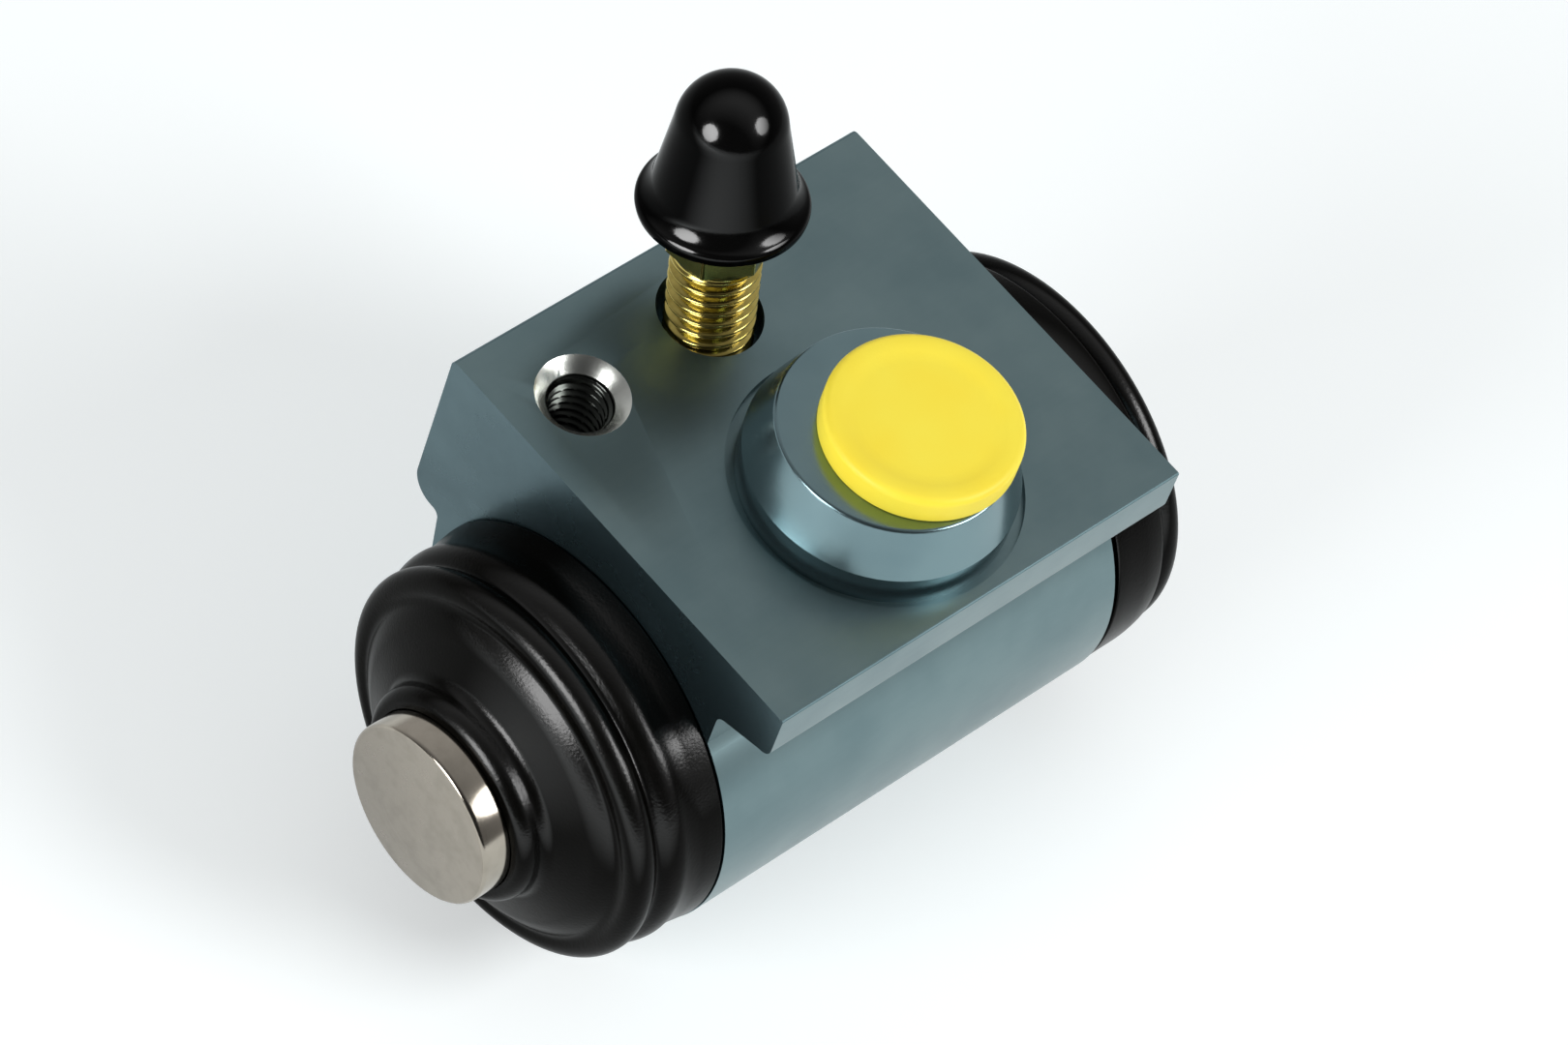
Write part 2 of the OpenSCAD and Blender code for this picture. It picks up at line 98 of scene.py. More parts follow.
class Side(Enum):
    """The two ends of the barrel, with the sign of X that each lies on."""

    LEFT = -1
    RIGHT = 1

    @property
    def word(self) -> str:
        """The end's name, as the nodes and bodies use it."""
        return self.name.lower()


def linear(hex_colour: str) -> tuple[float, float, float, float]:
    """Turn an sRGB hex colour into linear RGBA.

    Args:
        hex_colour: Six hex digits with a leading hash sign.

    Returns:
        Linear red, green, blue and an alpha of 1.
    """
    digits = hex_colour.lstrip("#")
    channels = [int(digits[i : i + 2], 16) / 255.0 for i in (0, 2, 4)]
    return tuple(c / 12.92 if c <= 0.04045 else ((c + 0.055) / 1.055) ** 2.4 for c in channels) + (1.0,)


def add_node(
    tree: Tree,
    kind: str,
    settings: Optional[dict[Any, Any]] = None,
    links: Optional[dict[Any, Socket]] = None,
) -> bpy.types.Node:
    """Add one shader node with its settings and incoming links.

    Args:
        tree: The node tree that takes the node.
        kind: Blender's name for the node type.
        settings: Values by socket name, socket number or property name.
        links: Source sockets by the name or number of the socket that they feed.

    Returns:
        The new node.
    """
    node = tree.nodes.new(kind)
    for key, value in (settings or {}).items():
        if isinstance(key, int) or key in node.inputs:
            node.inputs[key].default_value = value
        else:
            setattr(node, key, value)
    for key, source in (links or {}).items():
        tree.links.new(source, node.inputs[key])
    return node


def per_mm(size_mm: float) -> float:
    """Texture scale at which one unit of a pattern spans a real size."""
    return 1.0 / (size_mm * MM)


@dataclass(frozen=True)
class Finish:
    """One surface finish. Subclasses add the pattern that the real surface shows."""

    name: str
    colour: str
    shade: str
    roughness: float
    metallic: float = 0.0
    ior: float = 1.5

    def material(self) -> bpy.types.Material:
        """Make the material once and return it each time.

        Returns:
            The finish as a node material.
        """
        found = bpy.data.materials.get(self.name)
        if found is not None:
            return found
        made = bpy.data.materials.new(self.name)
        made.use_nodes = True
        tree = made.node_tree
        shader = tree.nodes["Principled BSDF"]
        shader.inputs["Metallic"].default_value = self.metallic
        shader.inputs["Roughness"].default_value = self.roughness
        # A metal keeps the default IOR.
        if self.metallic < METAL_FROM:
            shader.inputs["IOR"].default_value = self.ior
        place = add_node(tree, "ShaderNodeTexCoord").outputs["Object"]
        self.pattern(tree, shader, place)
        return made

    def pattern(self, tree: Tree, shader: bpy.types.Node, place: Socket) -> None:
        """Draw the surface on the shader.

        Args:
            tree: The material's node tree.
            shader: Its Principled BSDF node.
            place: Object coordinates, in metres.
        """
        raise NotImplementedError

    def tint(self, tree: Tree, shader: bpy.types.Node, amount: Socket) -> None:
        """Mix the finish's two colours into the base colour.

        Args:
            tree: The material's node tree.
            shader: Its Principled BSDF node.
            amount: Share of the second colour, from 0 to 1.
        """
        mixed = add_node(
            tree,
            "ShaderNodeMix",
            {"data_type": "RGBA", 6: linear(self.colour), 7: linear(self.shade)},
            {0: amount},
        )
        tree.links.new(mixed.outputs[2], shader.inputs["Base Color"])

    def roughen(self, tree: Tree, shader: bpy.types.Node, amount: Socket, spread: float) -> None:
        """Let the roughness vary either side of its plain value.

        Args:
            tree: The material's node tree.
            shader: Its Principled BSDF node.
            amount: Place in the range, from 0 at its smooth end to 1 at its rough end.
            spread: How far the range reaches to each side.
        """
        ranged = add_node(
            tree,
            "ShaderNodeMapRange",
            {"To Min": self.roughness - spread, "To Max": self.roughness + spread},
            {"Value": amount},
        )
        tree.links.new(ranged.outputs[0], shader.inputs["Roughness"])

    def emboss(self, tree: Tree, shader: bpy.types.Node, height: Socket, depth_mm: float) -> None:
        """Raise the surface by a pattern.

        Args:
            tree: The material's node tree.
            shader: Its Principled BSDF node.
            height: The pattern, from 0 to 1.
            depth_mm: Real height of its peaks.
        """
        bump = add_node(
            tree, "ShaderNodeBump", {"Distance": depth_mm * MM, "Strength": 1.0}, {"Height": height}
        )
        tree.links.new(bump.outputs[0], shader.inputs["Normal"])


@dataclass(frozen=True)
class AnodisedAlloy(Finish):
    """Anodised or cut aluminium: satin, with faint die lines along the barrel and soft clouds."""

    # Real die lines are too fine to show, so they are drawn wider.
    line_mm: float = 0.5
    run_mm: float = 30.0
    cloud_mm: float = 9.0
    line_share: float = 0.1
    tone_from: float = 0.35
    tone_to: float = 0.65
    bump_mm: float = 0.004
    gloss_spread: float = 0.06

    def pattern(self, tree: Tree, shader: bpy.types.Node, place: Socket) -> None:
        """Draw die lines along X under clouds that shift the tone and the gloss.

        Args:
            tree: The material's node tree.
            shader: Its Principled BSDF node.
            place: Object coordinates, in metres.
        """
        stretch = add_node(
            tree,
            "ShaderNodeMapping",
            {"Scale": (per_mm(self.run_mm), per_mm(self.line_mm), per_mm(self.line_mm))},
            {"Vector": place},
        )
        lines = add_node(
            tree, "ShaderNodeTexNoise", {"Scale": 1.0, "Detail": 3.0}, {"Vector": stretch.outputs[0]}
        )
        clouds = add_node(
            tree, "ShaderNodeTexNoise", {"Scale": per_mm(self.cloud_mm), "Detail": 4.0}, {"Vector": place}
        )
        both = add_node(
            tree,
            "ShaderNodeMix",
            {0: self.line_share},
            {2: clouds.outputs["Fac"], 3: lines.outputs["Fac"]},
        )
        spread = add_node(
            tree,
            "ShaderNodeMapRange",
            {"From Min": self.tone_from, "From Max": self.tone_to},
            {"Value": both.outputs[0]},
        )
        self.tint(tree, shader, spread.outputs[0])
        self.roughen(tree, shader, both.outputs[0], self.gloss_spread)
        self.emboss(tree, shader, lines.outputs["Fac"], self.bump_mm)


@dataclass(frozen=True)
class TurnedMetal(Finish):
    """Metal turned on a lathe: fine rings round an axis, with small specks of handling."""

    axis: tuple[float, float, float] = (0.0, 0.0, 0.0)
    keep: tuple[float, float, float] = (0.0, 1.0, 1.0)
    # Real turning marks are too fine to show, so the rings are drawn wider.
    ring_mm: float = 0.35
    speck_mm: float = 1.6
    worn_from: float = 0.45
    worn_to: float = 0.75
    bump_mm: float = 0.006
    gloss_spread: float = 0.08

    def pattern(self, tree: Tree, shader: bpy.types.Node, place: Socket) -> None:
        """Draw rings by the distance from the axis, with specks over them.

        Args:
            tree: The material's node tree.
            shader: Its Principled BSDF node.
            place: Object coordinates, in metres.
        """
        centre = [-a * k for a, k in zip(self.axis, self.keep)]
        flat = add_node(
            tree, "ShaderNodeMapping", {"Location": centre, "Scale": self.keep}, {"Vector": place}
        )
        away = add_node(tree, "ShaderNodeVectorMath", {"operation": "LENGTH"}, {0: flat.outputs[0]})
        rings = add_node(
            tree,
            "ShaderNodeTexNoise",
            {"noise_dimensions": "1D", "Scale": per_mm(self.ring_mm), "Detail": 2.0},
            {"W": away.outputs["Value"]},
        )
        specks = add_node(
            tree, "ShaderNodeTexNoise", {"Scale": per_mm(self.speck_mm), "Detail": 6.0}, {"Vector": place}
        )
        worn = add_node(
            tree,
            "ShaderNodeMapRange",
            {"From Min": self.worn_from, "From Max": self.worn_to},
            {"Value": specks.outputs["Fac"]},
        )
        self.tint(tree, shader, worn.outputs[0])
        self.roughen(tree, shader, specks.outputs["Fac"], self.gloss_spread)
        self.emboss(tree, shader, rings.outputs["Fac"], self.bump_mm)


@dataclass(frozen=True)
class MouldedRubber(Finish):
    """Moulded rubber: nearly black, with a dull bloom in patches and a fine grain from the mould."""

    # Real mould grain is too fine to show, so it is drawn coarser.
    grain_mm: float = 0.25
    bloom_mm: float = 4.0
    bump_mm: float = 0.02
    gloss_spread: float = 0.08
    dull_from: float = 0.15
    dull_to: float = 0.32
    full_gloss: float = 0.5
    edge_gloss: float = 0.05

    def pattern(self, tree: Tree, shader: bpy.types.Node, place: Socket) -> None:
        """Draw the bloom as tone and gloss and the grain as bump, with less gloss at a slant.

        Args:
            tree: The material's node tree.
            shader: Its Principled BSDF node.
            place: Object coordinates, in metres.
        """
        slant = add_node(tree, "ShaderNodeLayerWeight", {"Blend": 0.5})
        gloss = add_node(
            tree,
            "ShaderNodeMapRange",
            {
                "interpolation_type": "SMOOTHSTEP", "From Min": self.dull_from, "From Max": self.dull_to,
                "To Min": self.full_gloss, "To Max": self.edge_gloss,
            },
            {"Value": slant.outputs["Facing"]},
        )
        tree.links.new(gloss.outputs[0], shader.inputs["Specular IOR Level"])
        grain = add_node(
            tree, "ShaderNodeTexNoise", {"Scale": per_mm(self.grain_mm), "Detail": 3.0}, {"Vector": place}
        )
        bloom = add_node(
            tree, "ShaderNodeTexNoise", {"Scale": per_mm(self.bloom_mm), "Detail": 5.0}, {"Vector": place}
        )
        self.tint(tree, shader, bloom.outputs["Fac"])
        self.roughen(tree, shader, bloom.outputs["Fac"], self.gloss_spread)
        self.emboss(tree, shader, grain.outputs["Fac"], self.bump_mm)


@dataclass(frozen=True)
class MouldedPlastic(Finish):
    """Moulded polythene: strong colour, soft gloss and slight waves where it shrank in the mould."""

    wave_mm: float = 7.0
    # Real mould grain is too fine to show, so it is drawn coarser.
    grain_mm: float = 0.3
    bump_mm: float = 0.01
    gloss_spread: float = 0.06

    def pattern(self, tree: Tree, shader: bpy.types.Node, place: Socket) -> None:
        """Draw the shrink waves as tone and gloss, and the mould's grain as bump.

        Args:
            tree: The material's node tree.
            shader: Its Principled BSDF node.
            place: Object coordinates, in metres.
        """
        waves = add_node(
            tree, "ShaderNodeTexNoise", {"Scale": per_mm(self.wave_mm), "Detail": 2.0}, {"Vector": place}
        )
        grain = add_node(
            tree, "ShaderNodeTexNoise", {"Scale": per_mm(self.grain_mm), "Detail": 2.0}, {"Vector": place}
        )
        self.tint(tree, shader, waves.outputs["Fac"])
        self.roughen(tree, shader, waves.outputs["Fac"], self.gloss_spread)
        self.emboss(tree, shader, grain.outputs["Fac"], self.bump_mm)


BARREL_LOW, BARREL_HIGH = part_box("piston_right")
BARREL_AXIS = (BARREL_LOW + BARREL_HIGH) * 0.5

# Extruded and anodised aluminium: satin blue-grey with faint clouds.
ALLOY = AnodisedAlloy("anodised_alloy", "#74888b", "#6a7f83", roughness=0.34, metallic=0.95)
# Boss turned on a lathe, then anodised: the same blue-grey with more gloss.
BOSS_ALLOY = TurnedMetal(
    "turned_alloy_boss", "#758c91", "#6e858b", roughness=0.21, metallic=0.95, keep=(1.0, 1.0, 0.0),
    ring_mm=0.25, speck_mm=6.0, bump_mm=0.002, gloss_spread=0.03,
)
# Sawn ends, anodised: smoother than the extruded skin, and painted darker as the shade that falls on them under
# the plate and beside the boots.
SAWN_ALLOY_PAINTED_SHADE = AnodisedAlloy(
    "sawn_alloy_end_painted_shade", "#5c7278", "#51666c", roughness=0.27, metallic=0.95, run_mm=3.0, bump_mm=0.0015
)
# Top edges of the plate: rougher, and painted darker as shade, so that they catch no bright line.
EDGE_ALLOY_PAINTED_SHADE = AnodisedAlloy("shaded_alloy_edge", "#6a8085", "#5f757a", roughness=0.6, metallic=0.95)
# Countersink cut after anodising: bare, pale and bright.
CUT_ALLOY = AnodisedAlloy("bare_cut_alloy", "#dfe1dc", "#c3c6c1", roughness=0.26, metallic=1.0, line_mm=0.3)
# Tapped wall, bare metal: painted dark grey as the shade down in the hole, with small glints on its threads.
TAPPED_ALLOY_PAINTED_SHADE = AnodisedAlloy("tapped_alloy_painted_shade", "#4a4d4a", "#3c3f3c", roughness=0.22, metallic=1.0, line_mm=0.3)
# Piston face, turned and plated: warm grey with faint rings and specks.
STEEL = TurnedMetal(
    "turned_plated_steel", "#9a9389", "#908a80", roughness=0.3, metallic=1.0,
    axis=tuple(BARREL_AXIS), keep=(0.0, 1.0, 1.0),
)
# Piston walls, ground: smooth enough to mirror what stands round them.
GROUND_STEEL = TurnedMetal(
    "ground_steel_stem", "#a39c91", "#9a9388", roughness=0.14, metallic=1.0,
    axis=tuple(BARREL_AXIS), keep=(1.0, 0.0, 0.0), bump_mm=0.001, gloss_spread=0.03,
)
# Pressed spring seats: pale steel with a soft sheen.
SEAT_STEEL = TurnedMetal(
    "pressed_steel", "#c4c5c0", "#a3a49f", roughness=0.35, metallic=1.0, axis=tuple(BARREL_AXIS)
)
# Drawn spring wire: middle grey and half bright.
WIRE_STEEL = TurnedMetal("drawn_spring_wire", "#8d9094", "#6f7276", roughness=0.35, metallic=1.0)
# Boots from a satin mould: nearly black with soft highlights.
BOOT_RUBBER = MouldedRubber("moulded_boot_rubber", "#030302", "#070605", roughness=0.24, ior=1.43)
# Cups from a plain mould: dull black.
SEAL_RUBBER = MouldedRubber("moulded_seal_rubber", "#141414", "#1c1c1c", roughness=0.4, ior=1.45)
# Cap from a polished mould: deep black with small bright highlights.
CAP_RUBBER = MouldedRubber(
    "gloss_cap_rubber", "#020202", "#030303", roughness=0.12, ior=1.52, bump_mm=0.004, gloss_spread=0.04,
    dull_from=0.05, dull_to=0.27, edge_gloss=0.02,
)
# Zinc plate with a yellow passivate: bright, golden and slightly green.
YELLOW_ZINC = TurnedMetal(
    "yellow_passivated_steel", "#b8a75e", "#9c8b46", roughness=0.17, metallic=1.0, keep=(1.0, 1.0, 1.0),
    ring_mm=0.4, bump_mm=0.001, gloss_spread=0.04,
)
# Polythene: strong opaque yellow with a soft sheen.
PLUG_PLASTIC = MouldedPlastic("yellow_polythene", "#feee50", "#fee035", roughness=0.45, ior=1.4)


@dataclass(frozen=True)
class Corner:
    """A corner of a turned outline: distance along the axis, radius from it, and how far it is rounded."""

    along: float
    radius: float
    rounding: float = 0.0


def turned(outline: Sequence[Corner], closed: bool = False, steps: int = 128, arc: int = 6) -> Shape:
    """Turn an outline round Z.

    Args:
        outline: The corners in order, in millimetres.
        closed: Whether the outline joins up, as on a ring, instead of ending on the axis.
        steps: Faces round the axis.
        arc: Segments in each rounded corner.

    Returns:
        The closed shape, in metres.
    """
    shape = bmesh.new()
    points = [shape.verts.new((c.radius * MM, 0.0, c.along * MM)) for c in outline]
    for first, second in zip(points, points[1:]):
        shape.edges.new((first, second))
    if closed:
        shape.edges.new((points[-1], points[0]))
    groups: dict[float, list[bmesh.types.BMVert]] = {}
    for corner, point in zip(outline, points):
        if corner.rounding > 0.0:
            groups.setdefault(corner.rounding, []).append(point)
    for rounding, members in groups.items():
        bmesh.ops.bevel(
            shape, geom=members, offset=rounding * MM, offset_type="OFFSET", segments=arc, profile=0.5,
            affect="VERTICES", material=-1,
        )
    bmesh.ops.spin(
        shape, geom=shape.verts[:] + shape.edges[:], cent=(0, 0, 0), axis=(0, 0, 1), dvec=(0, 0, 0),
        angle=FULL_TURN, steps=steps, use_merge=True, use_duplicate=False,
    )
    bmesh.ops.remove_doubles(shape, verts=shape.verts[:], dist=MERGE_MM * MM)
    bmesh.ops.recalc_face_normals(shape, faces=shape.faces[:])
    return shape


def joined(shapes: Iterable[Shape]) -> Shape:
    """Gather several shapes into one bmesh and free them.

    Args:
        shapes: The shapes to gather.

    Returns:
        One bmesh that holds them all.
    """
    whole = bmesh.new()
    for shape in shapes:
        part = bpy.data.meshes.new("part")
        shape.to_mesh(part)
        shape.free()
        whole.from_mesh(part)
        bpy.data.meshes.remove(part)
    return whole


def settle(shape: Shape, name: str, place: Matrix, finish: Finish, sharp_deg: float = 32.0) -> Piece:
    """Place a shape in the frame and make it a finished object at the origin.

    Args:
        shape: The shape, in metres, which is freed.
        name: The piece's name.
        place: Where the shape goes in the frame.
        finish: Its first finish.
        sharp_deg: Edges sharper than this stay crisp.

    Returns:
        The piece.
    """
    bmesh.ops.transform(shape, matrix=place, verts=shape.verts[:])
    if place.determinant() < 0.0:
        bmesh.ops.recalc_face_normals(shape, faces=shape.faces[:])
    mesh = bpy.data.meshes.new(name)
    shape.to_mesh(mesh)
    shape.free()
    mesh.shade_smooth()
    mesh.set_sharp_from_angle(angle=math.radians(sharp_deg))
    piece = bpy.data.objects.new(name, mesh)
    bpy.context.scene.collection.objects.link(piece)
    mesh.materials.append(finish.material())
    log.info("%s: %d faces", name, len(mesh.polygons))
    return piece


def steady_normals(piece: Piece) -> None:
    """Let the larger faces set the shading at shared corners, so that flats stay flat."""
    weighted = piece.modifiers.new("steady_normals", "WEIGHTED_NORMAL")
    weighted.keep_sharp = True


def thread_height(turns: float) -> float:
    """Height of a V thread, from 0 at its root to 1 at its crest, at a distance counted in pitches."""
    wave = abs(2.0 * (turns % 1.0) - 1.0)
    return min(1.0, max(0.0, (wave - THREAD_ROOT) / THREAD_FLANK))


def subdivided_run(start: Corner, end: Corner, pieces: int) -> list[Corner]:
    """Split a straight run of an outline into equal pieces.

    Args:
        start: First corner of the run.
        end: Last corner of the run.
        pieces: How many pieces it gets.

    Returns:
        The corners, both ends included.
    """
    share = [i / pieces for i in range(pieces + 1)]
    return [
        Corner(start.along + (end.along - start.along) * t, start.radius + (end.radius - start.radius) * t)
        for t in share
    ]


def rounded_run(along: float, radius: float, bend: float, start_deg: float, end_deg: float) -> list[Corner]:
    """Corners along a round in an outline.

    Args:
        along: Distance of the round's centre along the axis.
        radius: Distance of the centre from the axis.
        bend: Radius of the round.
        start_deg: First angle, from straight outwards towards the far end.
        end_deg: Last angle.

    Returns:
        The corners, about ARC_STEP_DEG apart.
    """
    pieces = max(2, round(abs(end_deg - start_deg) / ARC_STEP_DEG))
    angles = [math.radians(start_deg + (end_deg - start_deg) * i / pieces) for i in range(pieces + 1)]
    return [Corner(along + bend * math.sin(a), radius + bend * math.cos(a)) for a in angles]


def cut_thread(
    shape: Shape, start: float, end: float, pitch: float, crest: float, root: float, fade: float
) -> None:
    """Move the walls between two heights of a turned shape into a right-hand thread.

    Args:
        shape: A shape turned round Z, in metres.
        start: Height at which the thread begins, in millimetres.
        end: Height at which it ends.
        pitch: Distance from one turn to the next.
        crest: Radius at the thread's crest.
        root: Radius at its root.
        fade: Distance over which the thread runs out at both ends.
    """
    for vert in shape.verts:
        height = vert.co.z / MM
        radius = math.hypot(vert.co.x, vert.co.y) / MM
        if radius < min(root, crest) * THREADED_SHARE or not start <= height <= end:
            continue
        turn = math.atan2(vert.co.y, vert.co.x) / FULL_TURN
        depth = min(1.0, (height - start) / fade, (end - height) / fade)
        wanted = crest + (root - crest) * (1.0 - thread_height(height / pitch - turn)) * depth
        vert.co.x *= wanted / radius
        vert.co.y *= wanted / radius


def span(node: str, side: Side) -> tuple[float, float]:
    """Find how far a piece lies from the middle of the barrel.

    Args:
        node: The piece's node.
        side: The end of the barrel that it belongs to.

    Returns:
        Distances of its inner and outer ends, in millimetres.
    """
    low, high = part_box(node)
    inner, outer = sorted((side.value * low.x / MM, side.value * high.x / MM))
    return inner, outer


def barrel_place(side: Side) -> Matrix:
    """Lay a shape turned round Z along the barrel, outwards at one end.

    Args:
        side: The end of the barrel.

    Returns:
        The matrix that places the shape.
    """
    outwards = Matrix.Rotation(QUARTER_TURN, 4, "Y")
    mirrored = Matrix.Diagonal((side.value, 1.0, 1.0, 1.0))
    return Matrix.Translation((0.0, BARREL_AXIS.y, BARREL_AXIS.z)) @ mirrored @ outwards


class ShellMetal(IntEnum):
    """Places of the body's metals in its list of materials."""

    EXTRUDED = 0
    CUT = 1
    # The sawn ends, whose metal is painted darker as shade.
    SAWN_SHADED = 2
    TURNED = 3
    # The plate's top edges, whose metal is painted darker as shade over their bright line.
    SHADED_EDGE = 4


@dataclass
class BodyShell:
    """The alloy body, with its sawn and machined edges broken and its fixing hole tapped."""

    flat_deg: float = 0.6
    crisp_deg: float = 14.0
    edge_break: float = 0.1
    saw_at: float = 23.12
    edge_angle_deg: float = 38.0
    tap_r: float = 2.5
    tap_wall_r: float = 3.05
    tap_pitch: float = 1.0
    tap_depth: float = 13.0
    tap_lead: float = 0.9
    tap_from: float = 0.5
    tap_under: float = 0.1
    tap_skin: float = 0.05
    rows_per_turn: int = 12
    sink_depth: float = 1.2
    sink_r: float = 4.24
    sink_reach: float = 3.0
    boss_top_r: float = 10.45
    boss_rim: float = 0.25
    boss_rim_above: float = 7.0
    boss_core_r: float = 8.5
    boss_groove_r: float = 14.0
    groove_deep: float = 1.2
    # Limits that pick out the faces and corners of each metal.
    level_normal: float = 0.97
    # Depth and lean of the top edges that take the painted shade.
    shaded_edge_deep: float = 0.4
    shaded_edge_normal: float = 0.1
    tap_near: float = 0.05
    rim_near: float = 0.06
    skim: float = 0.02

    def mouth(self) -> Vector:
        """Find the fixing hole by the record's mount.

        Returns:
            Centre of the hole on the mounting face, in metres.
        """
        mounts = {m["name"]: m for m in frame["record"]["mounts"]}
        point = mounts["fixing_hole"]["pos_m"]
        return Vector((point[0], point[1], 0.0))

    def build(self) -> list[Piece]:
        """Copy the body's solid, break its edges and tap its hole.

        Returns:
            The shell and the thread in its fixing hole.
        """
        shape = bmesh.new()
        shape.from_mesh(frame["nodes"]["cylinder_body"].data)
        bmesh.ops.remove_doubles(shape, verts=shape.verts[:], dist=MERGE_MM * MM)
        bmesh.ops.dissolve_limit(
            shape, angle_limit=math.radians(self.flat_deg), verts=shape.verts[:], edges=shape.edges[:]
        )
        mouth = self.mouth()
        self.open_hole(shape, mouth)
        rim = [e for e in shape.edges if all(self.on_boss_rim(v.co) for v in e.verts)]
        bmesh.ops.bevel(
            shape, geom=rim, offset=self.boss_rim * MM, offset_type="OFFSET", segments=5, profile=0.5,
            affect="EDGES", clamp_overlap=True, material=-1,
        )
        angle = math.radians(self.edge_angle_deg)
        hard = [e for e in shape.edges if e.is_manifold and e.calc_face_angle(0.0) > angle]
        bmesh.ops.bevel(
            shape, geom=hard, offset=self.edge_break * MM, offset_type="OFFSET", segments=2, profile=0.5,
            affect="EDGES", clamp_overlap=True, material=-1,
        )
        shell = settle(shape, "cylinder_shell", Matrix.Identity(4), ALLOY, sharp_deg=self.crisp_deg)
        for finish in (CUT_ALLOY, SAWN_ALLOY_PAINTED_SHADE, BOSS_ALLOY, EDGE_ALLOY_PAINTED_SHADE):
            shell.data.materials.append(finish.material())
        self.bare_sink(shell, mouth)
        self.machined_faces(shell)
        self.round_boss(shell)
        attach(shell, "cylinder")
        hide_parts("cylinder_body")
        return [shell, self.tapped_thread(mouth)]

    def open_hole(self, shape: Shape, mouth: Vector) -> None:
        """Widen the wall of the fixing hole, to leave room for its thread.

        Args:
            shape: The body's shape, in metres.
            mouth: Centre of the hole on the mounting face.
        """
        for vert in shape.verts:
            away = Vector((vert.co.x - mouth.x, vert.co.y - mouth.y))
            on_wall = abs(away.length - self.tap_r * MM) < self.tap_near * MM
            if on_wall and vert.co.z < -self.tap_from * MM:
                wider = away * (self.tap_wall_r / self.tap_r)
                vert.co.x = mouth.x + wider.x
                vert.co.y = mouth.y + wider.y
                if vert.co.z > -self.sink_reach * MM:
                    vert.co.z = -self.sink_depth * MM

    def on_boss_rim(self, point: Vector) -> bool:
        """Whether a point lies on the outer edge of the boss's flat top."""
        on_circle = abs(point.xy.length - self.boss_top_r * MM) < self.rim_near * MM
        return on_circle and point.z > self.boss_rim_above * MM

    def bare_sink(self, shell: Piece, mouth: Vector) -> None:
        """Give the countersink and the hole below it the bright cut metal.

        Args:
            shell: The body's shell.
            mouth: Centre of the hole on the mounting face.
        """
        for face in shell.data.polygons:
            away = math.hypot(face.center.x - mouth.x, face.center.y - mouth.y)
            if away < (self.sink_r + self.edge_break) * MM and face.center.z < -self.skim * MM:
                face.material_index = ShellMetal.CUT

    def machined_faces(self, shell: Piece) -> None:
        """Give the sawn ends a metal painted darker as shade, the turned boss its own metal, and the plate's top
        edges a duller metal painted darker as shade over their bright line.

        Args:
            shell: The body's shell.
        """
        for face in shell.data.polygons:
            height = face.center.z / MM
            leaning = self.shaded_edge_normal < face.normal.z < self.level_normal
            # The end faces take the sawn metal with its painted shade.
            if abs(face.center.x) > self.saw_at * MM and height < -self.skim:
                face.material_index = ShellMetal.SAWN_SHADED
            elif height > self.skim:
                face.material_index = ShellMetal.TURNED
            # The top edges take the duller metal with its painted shade.
            elif height > -self.shaded_edge_deep and leaning and face.material_index == ShellMetal.EXTRUDED:
                face.material_index = ShellMetal.SHADED_EDGE

    def round_boss(self, shell: Piece) -> None:
        """Shade the boss and the groove at its foot as the round walls that their faces follow.

        Args:
            shell: The body's shell.
        """
        mesh = shell.data
        normals = [corner.vector.copy() for corner in mesh.corner_normals]
        for face in mesh.polygons:
            centre = face.center.xy
            inside = self.boss_core_r * MM < centre.length < self.boss_groove_r * MM
            level = abs(face.normal.z) > self.level_normal
            if not inside or level or face.center.z < -self.groove_deep * MM:
                continue
            lean = math.copysign(face.normal.xy.length, face.normal.xy.dot(centre))
            for loop in face.loop_indices:
                away = mesh.vertices[mesh.loops[loop].vertex_index].co.xy.normalized()
                normals[loop] = Vector((away.x * lean, away.y * lean, face.normal.z))
        mesh.normals_split_custom_set(normals)

    def tapped_thread(self, mouth: Vector) -> Piece:
        """Make the thread that lines the fixing hole.

        Args:
            mouth: Centre of the hole on the mounting face.

        Returns:
            The thread as a closed sleeve.
        """
        top = Corner(-self.sink_depth - self.tap_under, self.tap_r)
        bottom = Corner(-self.tap_depth, self.tap_r)
        rows = int((top.along - bottom.along) / self.tap_pitch * self.rows_per_turn)
        wall = subdivided_run(bottom, top, rows)
        back = [Corner(top.along, self.tap_wall_r), Corner(bottom.along, self.tap_wall_r)]
        shape = turned(wall + back, closed=True, steps=64)
        for vert in shape.verts:
            radius = math.hypot(vert.co.x, vert.co.y) / MM
            if radius > self.tap_r + self.tap_under:
                continue
            turn = math.atan2(vert.co.y, vert.co.x) / FULL_TURN
            height = vert.co.z / MM
            opened = max(0.0, 1.0 - (top.along - height) / self.tap_lead)
            depth = max(opened, 1.0 - thread_height(height / self.tap_pitch - turn))
            sunk = depth * (self.tap_wall_r - self.tap_r - self.tap_skin)
            vert.co.x *= (self.tap_r + sunk) / radius
            vert.co.y *= (self.tap_r + sunk) / radius
        # The thread takes the dark grey that is painted shade for the inside of the hole.
        piece = settle(shape, "fixing_thread", Matrix.Translation(mouth), TAPPED_ALLOY_PAINTED_SHADE, sharp_deg=50.0)
        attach(piece, "cylinder")
        return piece


class PistonMetal(IntEnum):
    """Places of a piston's metals in its list of materials."""

    TURNED = 0
    GROUND = 1


